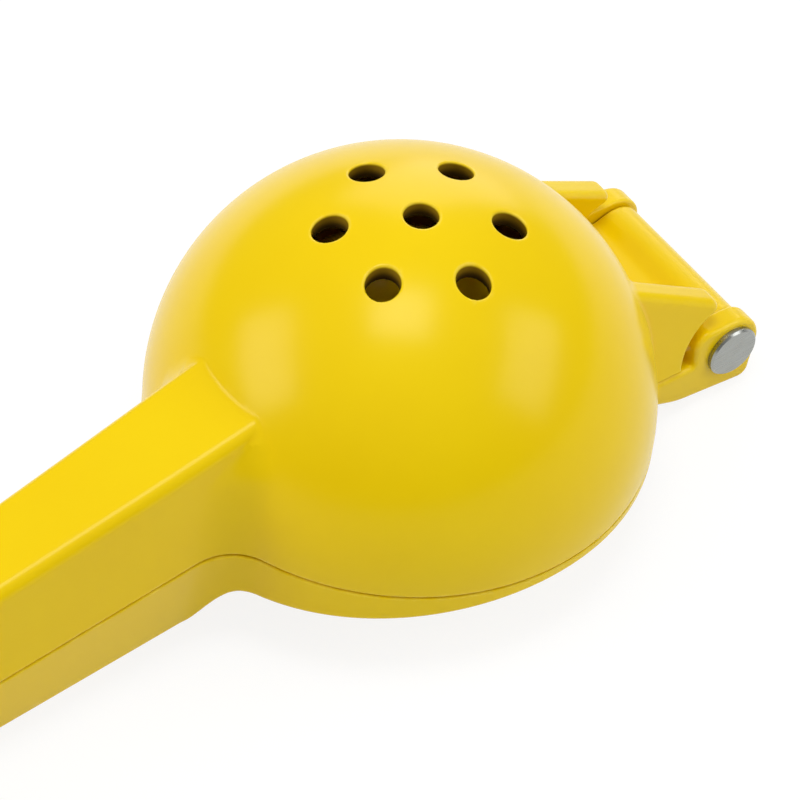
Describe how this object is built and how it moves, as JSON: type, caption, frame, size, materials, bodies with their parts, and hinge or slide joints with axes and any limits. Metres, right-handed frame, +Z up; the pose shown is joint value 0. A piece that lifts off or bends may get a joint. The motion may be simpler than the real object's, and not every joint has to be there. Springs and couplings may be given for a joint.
{
  "type": "hinged lemon squeezer",
  "caption": "Hinged lemon squeezer: a perforated strainer bowl closes over a domed press, both cast with long matching handles and joined by a cross pin.",
  "frame": {"origin": "under the middle of the closed tool's bounding box, on the surface it lies on", "axes": "+X along the handles towards the hinge, +Z up from the surface the closed tool lies on, dome up"},
  "size_m": [0.2246, 0.076, 0.0545],
  "materials": {
    "yellow_enamel": "gloss",
    "pin_steel": "satin"
  },
  "bodies": {
    "press": {"press_half": "yellow_enamel", "hinge_pin": "pin_steel"},
    "bowl": {"bowl_half": "yellow_enamel"}
  },
  "joints": [
    {"name": "bowl_hinge", "type": "hinge", "parent": "press", "child": "bowl", "pos_m": [0.1069, 0, 0.00807], "axis": [0, 1, 0], "range_deg": [0, 180]}
  ]
}
